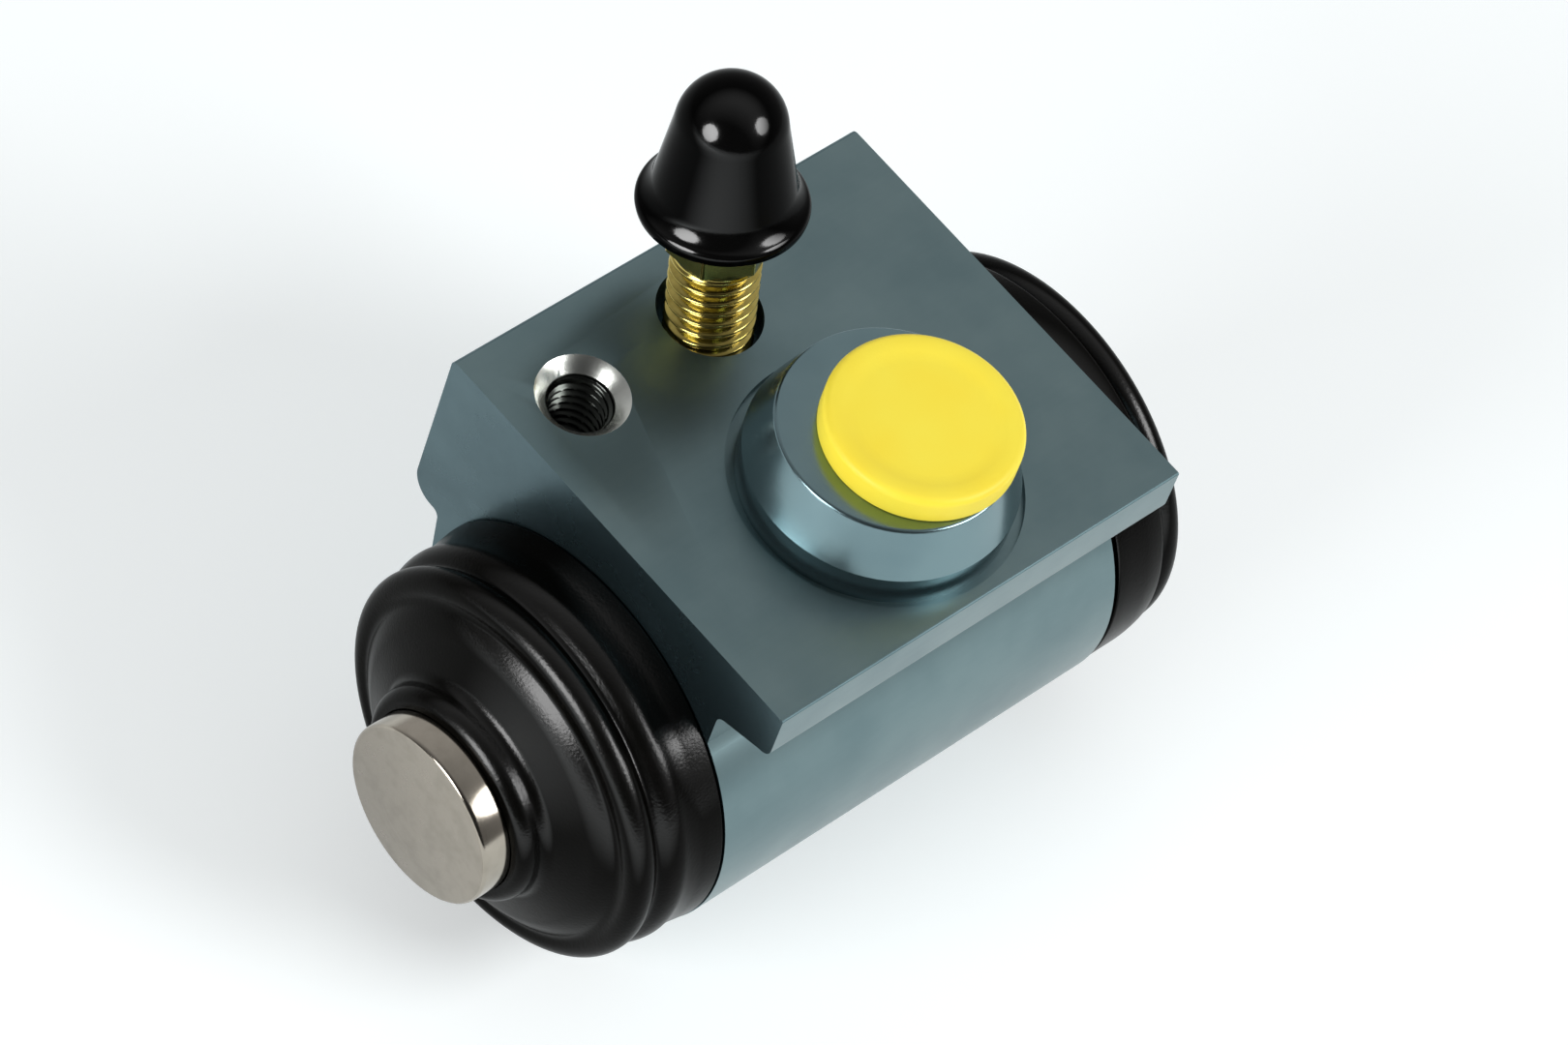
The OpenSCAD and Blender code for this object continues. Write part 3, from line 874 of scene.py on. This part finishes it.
@dataclass
class Piston:
    """A turned piston: skirt in the bore, slimmer stem, and a chamfered outer face."""

    side: Side
    stem_r: float = 8.64
    groove_r: float = 8.04
    groove_depth: float = 5.02
    groove_w: float = 1.6
    skirt_len: float = 14.0
    skirt_round: float = 0.4
    step_round: float = 0.3
    chamfer: float = 0.42
    face_normal: float = 0.95

    def build(self) -> list[Piece]:
        """Turn the piston.

        Returns:
            The piston alone.
        """
        low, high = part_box(f"piston_{self.side.word}")
        inner, face = span(f"piston_{self.side.word}", self.side)
        skirt_r = (high.y - low.y) / 2.0 / MM
        groove_start = face - self.groove_depth
        groove_end = groove_start + self.groove_w
        outline = [
            Corner(inner, 0.0),
            Corner(inner, skirt_r, self.skirt_round),
            Corner(inner + self.skirt_len, skirt_r, self.skirt_round),
            Corner(inner + self.skirt_len, self.stem_r, self.step_round),
            Corner(groove_start, self.stem_r),
            Corner(groove_start, self.groove_r),
            Corner(groove_end, self.groove_r),
            Corner(groove_end, self.stem_r),
            Corner(face, self.stem_r, self.chamfer),
            Corner(face, 0.0),
        ]
        shape = turned(outline, arc=3)
        piece = settle(shape, f"turned_piston_{self.side.word}", barrel_place(self.side), STEEL)
        piece.data.materials.append(GROUND_STEEL.material())
        for polygon in piece.data.polygons:
            if abs(polygon.normal.x) < self.face_normal:
                polygon.material_index = PistonMetal.GROUND
        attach(piece, f"{self.side.word}_piston")
        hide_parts(f"piston_{self.side.word}")
        return [piece]


@dataclass
class DustBoot:
    """A moulded boot: band on the neck, waist, roll, sloping front and a lip on the stem."""

    side: Side
    gap: float = 0.4
    neck_r: float = 16.1
    band_r: float = 19.25
    band_back_r: float = 19.35
    lap: float = 0.25
    pressed_lap: float = -0.3
    edge_round: float = 0.2
    dip_at: float = 2.6
    dip_r: float = 18.9
    dip_round: float = 0.9
    band_end: float = 5.9
    band_slope: float = 0.7
    ridge_round: float = 1.0
    valley_r: float = 18.0
    pressed_valley_r: float = 18.95
    valley_round: float = 0.5
    roll_at: float = 7.95
    roll_r: float = 17.2
    roll_bend: float = 1.5
    roll_from_deg: float = -45.0
    roll_to_deg: float = 105.0
    hollow: float = 0.15
    hollow_r: float = 16.2
    hollow_round: float = 0.4
    shoulder_share: float = 0.36
    shoulder_r: float = 14.95
    shoulder_round: float = 1.0
    foot_round: float = 0.8
    lip_len: float = 2.6
    lip_r: float = 10.3
    lip_edge: float = 0.6
    lip_edge_round: float = 0.7
    lip_draft: float = 0.85
    lip_end_round: float = 0.25
    stem_r: float = 8.74
    wall: float = 1.2
    shoulder_lining: float = 0.6
    roll_lining: float = 0.3
    neck_run: float = 0.4

    def drawn(self, stretched: float, pressed: float) -> float:
        """Pick a size by side: the right boot is pressed flatter, with its piston pushed in."""
        return stretched if self.side is Side.LEFT else pressed

    def build(self) -> list[Piece]:
        """Turn the boot between the neck and the stem.

        Returns:
            The boot alone.
        """
        start, end = span(f"dust_boot_{self.side.word}", self.side)
        face = start - self.gap
        roll = face + self.roll_at
        front = roll + self.roll_bend
        foot = end - self.lip_len
        shoulder = front + self.shoulder_share * (foot - front)
        back = start - self.drawn(self.lap, self.pressed_lap)
        valley_r = self.drawn(self.valley_r, self.pressed_valley_r)
        outline = [
            Corner(back, self.neck_r),
            Corner(back, self.drawn(self.band_back_r, self.band_r), self.edge_round),
            Corner(start + self.dip_at, self.drawn(self.dip_r, self.band_r), self.dip_round),
            Corner(face + self.band_end - self.band_slope, self.band_r, self.ridge_round),
            Corner(face + self.band_end + self.band_slope, valley_r, self.valley_round),
            *rounded_run(roll, self.roll_r, self.roll_bend, self.roll_from_deg, self.roll_to_deg),
            Corner(front - self.hollow, self.hollow_r, self.hollow_round),
            Corner(shoulder, self.shoulder_r, self.shoulder_round),
            Corner(foot, self.lip_r, self.foot_round),
            Corner(end - self.lip_edge, self.lip_r, self.lip_edge_round),
            Corner(end, self.lip_r - self.lip_draft, self.lip_end_round),
            Corner(end, self.stem_r),
            Corner(foot - self.wall, self.stem_r),
            Corner(shoulder - self.wall, self.shoulder_r - self.shoulder_lining, self.shoulder_lining),
            Corner(front - self.hollow - self.wall, self.hollow_r, self.hollow_round),
            Corner(roll, self.roll_r + self.roll_lining, self.hollow_round),
            Corner(face + self.band_end + self.neck_run, self.neck_r, self.edge_round),
        ]
        shape = turned(outline, closed=True, steps=144, arc=8)
        piece = settle(shape, f"moulded_boot_{self.side.word}", barrel_place(self.side), BOOT_RUBBER)
        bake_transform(piece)
        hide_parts(f"dust_boot_{self.side.word}")
        return [piece]


@dataclass
class SpringHalf:
    """One half of the return spring."""

    side: Side
    wire_r: float = 0.6
    wire_sides: int = 10
    turns: float = 3.0
    steps_per_turn: int = 36

    def build(self) -> list[Piece]:
        """Wind half the spring from the middle of the barrel to its seat.

        Returns:
            The half spring.
        """
        low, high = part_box("return_spring")
        reach = span("return_spring", self.side)[1] - self.wire_r
        coil_r = (high.y - low.y) / 2.0 / MM - self.wire_r
        shape = bmesh.new()
        ring = bmesh.ops.create_circle(
            shape, cap_ends=False, radius=self.wire_r * MM, segments=self.wire_sides
        )["verts"]
        upright = Matrix.Rotation(QUARTER_TURN, 4, "X")
        bmesh.ops.transform(shape, matrix=Matrix.Translation((coil_r * MM, 0, 0)) @ upright, verts=ring)
        steps = int(self.turns * self.steps_per_turn)
        bmesh.ops.spin(
            shape, geom=shape.verts[:] + shape.edges[:], cent=(0, 0, 0), axis=(0, 0, 1),
            dvec=(0, 0, reach * MM / steps), angle=FULL_TURN * self.turns, steps=steps, use_merge=False,
            use_duplicate=False,
        )
        rims = [e for e in shape.edges if e.is_boundary]
        bmesh.ops.holes_fill(shape, edges=rims, sides=0)
        bmesh.ops.recalc_face_normals(shape, faces=shape.faces[:])
        facing = Matrix.Identity(4)
        if self.side is Side.LEFT:
            facing = Matrix.Rotation(math.pi, 4, "Z")
        outwards = Matrix.Rotation(QUARTER_TURN, 4, "Y")
        place = Matrix.Translation((0.0, BARREL_AXIS.y, BARREL_AXIS.z)) @ facing @ outwards
        piece = settle(shape, f"spring_half_{self.side.word}", place, WIRE_STEEL)
        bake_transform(piece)
        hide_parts("return_spring")
        return [piece]


@dataclass
class BleedScrew:
    """The bleed screw: seat cone, thread, hex and hose nipple on a leaning axis."""

    thread_r: float = 4.0
    root_r: float = 3.3
    pitch: float = 1.25
    rows_per_turn: int = 14
    lead_in: float = 0.8
    run_out: float = 1.0
    shank_r: float = 3.2
    shank_top: float = -12.7
    tip_at: float = -16.9
    tip_r: float = 1.5
    hex_at: float = 7.7
    hex_top: float = 12.4
    hex_af: float = 8.0
    hex_lap: float = 0.4
    hex_break: float = 0.25
    nipple_r: float = 2.6
    nipple_lap: float = 1.0
    nipple_round: float = 0.2
    nipple_top: float = 21.4
    barb_r: float = 3.4
    barb_len: float = 3.4
    barb_slope: float = 2.6
    hole_r: float = 1.0
    hole_round: float = 0.1
    hole_deep: float = 6.0
    crisp_deg: float = 75.0

    def place(self) -> Matrix:
        """Find the screw's axis by its joint.

        Returns:
            The matrix that places a shape turned round Z on that axis.
        """
        joint = next(j for j in frame["joints"] if j["name"] == "bleed_screw_turn")
        lean = Vector((0, 0, 1)).rotation_difference(Vector(joint["axis"]))
        return Matrix.Translation(joint["pos_m"]) @ lean.to_matrix().to_4x4()

    def build(self) -> list[Piece]:
        """Turn, thread and mill the screw.

        Returns:
            The screw alone.
        """
        start = Corner(self.shank_top + self.lead_in, self.thread_r)
        end = Corner(self.hex_at, self.thread_r)
        rows = int((end.along - start.along) / self.pitch * self.rows_per_turn)
        outline = [
            Corner(self.tip_at, 0.0),
            Corner(self.tip_at, self.tip_r),
            Corner(self.tip_at + self.shank_r - self.tip_r, self.shank_r),
            Corner(self.shank_top, self.shank_r),
            *subdivided_run(start, end, rows),
            Corner(self.hex_at + self.hex_lap, self.thread_r),
            Corner(self.hex_at + self.hex_lap, 0.0),
        ]
        shank = turned(outline, steps=72)
        cut_thread(shank, start.along, end.along, self.pitch, self.thread_r, self.root_r, self.run_out)
        shape = joined([shank, self.hexagon(), self.nipple()])
        piece = settle(shape, "threaded_bleed_screw", self.place(), YELLOW_ZINC, sharp_deg=self.crisp_deg)
        steady_normals(piece)
        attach(piece, "bleeder")
        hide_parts("bleed_screw")
        return [piece]

    def nipple(self) -> Shape:
        """Turn the hose nipple, with its barb and the mouth of its drilling.

        Returns:
            The nipple as a closed shape.
        """
        outline = [
            Corner(self.hex_top - self.nipple_lap, 0.0),
            Corner(self.hex_top - self.nipple_lap, self.nipple_r),
            Corner(self.nipple_top - self.barb_len, self.nipple_r, self.nipple_round),
            Corner(self.nipple_top - self.barb_len, self.barb_r, self.nipple_round),
            Corner(self.nipple_top - self.barb_slope, self.barb_r, self.nipple_round),
            Corner(self.nipple_top, self.nipple_r, self.nipple_round),
            Corner(self.nipple_top, self.hole_r, self.hole_round),
            Corner(self.nipple_top - self.hole_deep, self.hole_r),
            Corner(self.nipple_top - self.hole_deep, 0.0),
        ]
        return turned(outline, steps=64)

    def hexagon(self) -> Shape:
        """Mill the hex, with its corners chamfered at both ends.

        Returns:
            The hex as a closed shape.
        """
        corner_r = self.hex_af / 2.0 / math.cos(math.radians(30.0))
        shape = bmesh.new()
        bmesh.ops.create_cone(
            shape, cap_ends=True, segments=6, radius1=corner_r * MM, radius2=corner_r * MM,
            depth=(self.hex_top - self.hex_at) * MM,
        )
        middle = (self.hex_top + self.hex_at) / 2.0
        bmesh.ops.translate(shape, vec=(0, 0, middle * MM), verts=shape.verts[:])
        bmesh.ops.bevel(
            shape, geom=shape.edges[:], offset=self.hex_break * MM, offset_type="OFFSET", segments=3,
            profile=0.5, affect="EDGES", material=-1,
        )
        return shape


@dataclass
class BleedCap:
    """The glossy rubber cap: rolled brim, cone and dome over the hose nipple."""

    foot: float = 12.4
    foot_in: float = 0.25
    foot_round: float = 0.35
    brim_r: float = 7.6
    brim_at: float = 1.15
    brim_round: float = 0.5
    flare: float = 2.05
    flare_out: float = 0.1
    flare_round: float = 1.2
    cone_r: float = 6.3
    dome_r: float = 4.9
    dome_at: float = 21.8
    dome_step_deg: int = 6
    bore_r: float = 3.55
    bore_top: float = 21.5
    bore_round: float = 0.8
    mouth_round: float = 0.2
    crisp_deg: float = 60.0

    def build(self, screw: BleedScrew) -> list[Piece]:
        """Turn the cap on the screw's axis.

        Args:
            screw: The screw that wears it.

        Returns:
            The cap alone.
        """
        top = self.dome_at + self.dome_r
        arch = [math.radians(a) for a in range(self.dome_step_deg, 90, self.dome_step_deg)]
        dome = [
            Corner(self.dome_at + self.dome_r * math.sin(a), self.dome_r * math.cos(a)) for a in arch
        ]
        outline = [
            Corner(self.bore_top, 0.0),
            Corner(self.bore_top, self.bore_r, self.bore_round),
            Corner(self.foot, self.bore_r, self.mouth_round),
            Corner(self.foot, self.brim_r - self.foot_in, self.foot_round),
            Corner(self.foot + self.brim_at, self.brim_r, self.brim_round),
            Corner(self.foot + self.flare, self.cone_r + self.flare_out, self.flare_round),
            *dome,
            Corner(top, 0.0),
        ]
        shape = turned(outline, arc=8)
        piece = settle(shape, "moulded_bleed_cap", screw.place(), CAP_RUBBER, sharp_deg=self.crisp_deg)
        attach(piece, "cap")
        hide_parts("bleed_cap")
        return [piece]


@dataclass
class PortPlug:
    """The yellow plug: a thick head with a rounded rim, a faint dish and a shank in the port."""

    head_r: float = 8.8
    head_t: float = 2.8
    head_round: float = 0.25
    rim: float = 0.7
    dish_r: float = 6.9
    dish: float = 0.24
    dish_lip: float = 0.5
    dish_lip_round: float = 0.4
    dish_slope: float = 0.6
    dish_round: float = 0.5
    shank_r: float = 4.4
    shank_tip_r: float = 4.1
    shank_tip_round: float = 0.3
    shank_len: float = 8.0

    def build(self) -> list[Piece]:
        """Turn the plug over the port.

        Returns:
            The plug alone.
        """
        low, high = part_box("port_plug")
        seat = high.z - self.head_t * MM
        outline = [
            Corner(-self.shank_len, 0.0),
            Corner(-self.shank_len, self.shank_tip_r, self.shank_tip_round),
            Corner(0.0, self.shank_r),
            Corner(0.0, self.head_r, self.head_round),
            Corner(self.head_t, self.head_r, self.rim),
            Corner(self.head_t, self.dish_r + self.dish_lip, self.dish_lip_round),
            Corner(self.head_t - self.dish, self.dish_r - self.dish_slope, self.dish_round),
            Corner(self.head_t - self.dish, 0.0),
        ]
        centre = (low + high) * 0.5
        place = Matrix.Translation((centre.x, centre.y, seat))
        piece = settle(turned(outline, arc=8), "moulded_port_plug", place, PLUG_PLASTIC)
        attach(piece, "plug")
        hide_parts("port_plug")
        return [piece]


@dataclass
class InnerPieces:
    """The sealed inner pieces, which keep their solids and get their own finishes."""

    def dress(self) -> None:
        """Give the cups and the spring seats their finishes."""
        for side in Side:
            for kind, finish in (("cup_seal", SEAL_RUBBER), ("spring_seat", SEAT_STEEL)):
                node = frame["nodes"][f"{kind}_{side.word}"]
                node.data.materials.clear()
                node.data.materials.append(finish.material())


@dataclass(frozen=True)
class Lamp:
    """A soft round lamp, with its place and width in metres."""

    name: str
    where: tuple[float, float, float]
    width: float
    watts: float


LAMPS = (
    Lamp("left_lamp", (-0.567, 0.048, 0.19), width=0.34, watts=3.0),
    Lamp("right_lamp", (0.256, -0.414, 0.351), width=0.32, watts=2.45),
)


@dataclass
class Studio:
    """The pale floor, the soft light and the camera."""

    photo_width: int = 1620
    focal_px: float = 7872.0
    sensor_mm: float = 36.0
    camera_mm: tuple[float, float, float] = (-339.1, -196.9, 512.5)
    azimuth_deg: float = -59.01
    elevation_deg: float = 53.15
    roll_deg: float = 21.71
    floor_hex: str = "#dfe5e6"
    floor_m: float = 6.0
    floor_roughness: float = 0.9
    floor_glow: float = 0.32
    light_hex: str = "#ffffff"
    far_side: tuple[float, float, float] = (0.86, 0.5, 0.0)
    sky_reach: float = 0.6
    far_level: float = 0.62
    near_level: float = 0.04
    aim_m: tuple[float, float, float] = (0.0, 0.0, -0.015)

    def build(self) -> None:
        """Set the view transform and make the floor, the world, the lamps and the camera."""
        bpy.context.scene.view_settings.view_transform = "Standard"
        self.floor()
        self.world()
        self.lamps()
        self.camera()

    def axes(self) -> Matrix:
        """Turn of the camera from the view angles.

        Returns:
            A 3 by 3 matrix with the camera's right, up and back as columns.
        """
        azimuth = math.radians(self.azimuth_deg)
        elevation = math.radians(self.elevation_deg)
        level = math.cos(elevation)
        back = Vector((math.sin(azimuth) * level, -math.cos(azimuth) * level, math.sin(elevation)))
        right = Vector((math.cos(azimuth), math.sin(azimuth), 0.0))
        up = back.cross(right)
        roll = Matrix.Rotation(math.radians(self.roll_deg), 3, back)
        columns = [roll @ right, roll @ up, back]
        return Matrix(columns).transposed()

    def camera(self) -> None:
        """Place the camera where the photograph was taken from."""
        data = bpy.data.cameras.new("camera")
        data.sensor_width = self.sensor_mm
        data.sensor_fit = "HORIZONTAL"
        data.lens = self.focal_px / self.photo_width * self.sensor_mm
        eye = bpy.data.objects.new("camera", data)
        eye.matrix_world = Matrix.Translation(Vector(self.camera_mm) * MM) @ self.axes().to_4x4()
        bpy.context.scene.collection.objects.link(eye)
        bpy.context.scene.camera = eye

    def floor(self) -> None:
        """Lay a pale floor under the barrel, with a glow that only the camera and reflections see."""
        mesh = bpy.data.meshes.new("floor")
        shape = bmesh.new()
        bmesh.ops.create_grid(shape, x_segments=1, y_segments=1, size=self.floor_m / 2.0)
        bmesh.ops.translate(shape, vec=(0, 0, CAD_BOX[0][2]), verts=shape.verts[:])
        shape.to_mesh(mesh)
        shape.free()
        plane = bpy.data.objects.new("floor", mesh)
        bpy.context.scene.collection.objects.link(plane)
        paint = bpy.data.materials.new("pale_floor")
        paint.use_nodes = True
        tree = paint.node_tree
        shader = tree.nodes["Principled BSDF"]
        shader.inputs["Base Color"].default_value = linear(self.floor_hex)
        shader.inputs["Roughness"].default_value = self.floor_roughness
        path = add_node(tree, "ShaderNodeLightPath")
        seen = add_node(
            tree, "ShaderNodeMath", {"operation": "MAXIMUM"},
            {0: path.outputs["Is Camera Ray"], 1: path.outputs["Is Glossy Ray"]},
        )
        shown = add_node(
            tree, "ShaderNodeMath", {"operation": "MAXIMUM"},
            {0: seen.outputs[0], 1: path.outputs["Is Transmission Ray"]},
        )
        level = add_node(
            tree, "ShaderNodeMath", {"operation": "MULTIPLY", 1: self.floor_glow}, {0: shown.outputs[0]}
        )
        shader.inputs["Emission Color"].default_value = linear(self.light_hex)
        tree.links.new(level.outputs[0], shader.inputs["Emission Strength"])
        mesh.materials.append(paint)

    def world(self) -> None:
        """Light the object like a white tent, brighter behind the object than behind the camera."""
        world = bpy.data.worlds.new("tent")
        world.use_nodes = True
        tree = world.node_tree
        place = add_node(tree, "ShaderNodeTexCoord").outputs["Generated"]
        behind = add_node(
            tree, "ShaderNodeVectorMath", {"operation": "DOT_PRODUCT", 1: self.far_side}, {0: place}
        )
        level = add_node(
            tree,
            "ShaderNodeMapRange",
            {
                "From Min": -self.sky_reach, "From Max": self.sky_reach,
                "To Min": self.near_level, "To Max": self.far_level,
            },
            {"Value": behind.outputs["Value"]},
        )
        sky = tree.nodes["Background"]
        sky.inputs["Color"].default_value = linear(self.light_hex)
        tree.links.new(level.outputs[0], sky.inputs["Strength"])
        bpy.context.scene.world = world

    def lamps(self) -> None:
        """Hang the soft lamps round the object."""
        for soft in LAMPS:
            data = bpy.data.lights.new(soft.name, "AREA")
            data.shape = "DISK"
            data.size = soft.width
            data.energy = soft.watts
            lamp = bpy.data.objects.new(soft.name, data)
            lamp.location = soft.where
            aim = Vector(self.aim_m) - lamp.location
            lamp.rotation_euler = aim.to_track_quat("-Z", "Y").to_euler()
            bpy.context.scene.collection.objects.link(lamp)


def main() -> None:
    """Build each sub-assembly in order, then the studio round it."""
    logging.basicConfig(level=logging.INFO, format="%(name)s: %(message)s")
    pieces = BodyShell().build()
    for side in Side:
        for kind in (Piston, DustBoot, SpringHalf):
            pieces += kind(side).build()
    screw = BleedScrew()
    pieces += screw.build()
    pieces += BleedCap().build(screw)
    pieces += PortPlug().build()
    log.info("%d pieces", len(pieces))
    InnerPieces().dress()
    Studio().build()


if __name__ == "__main__":
    main()
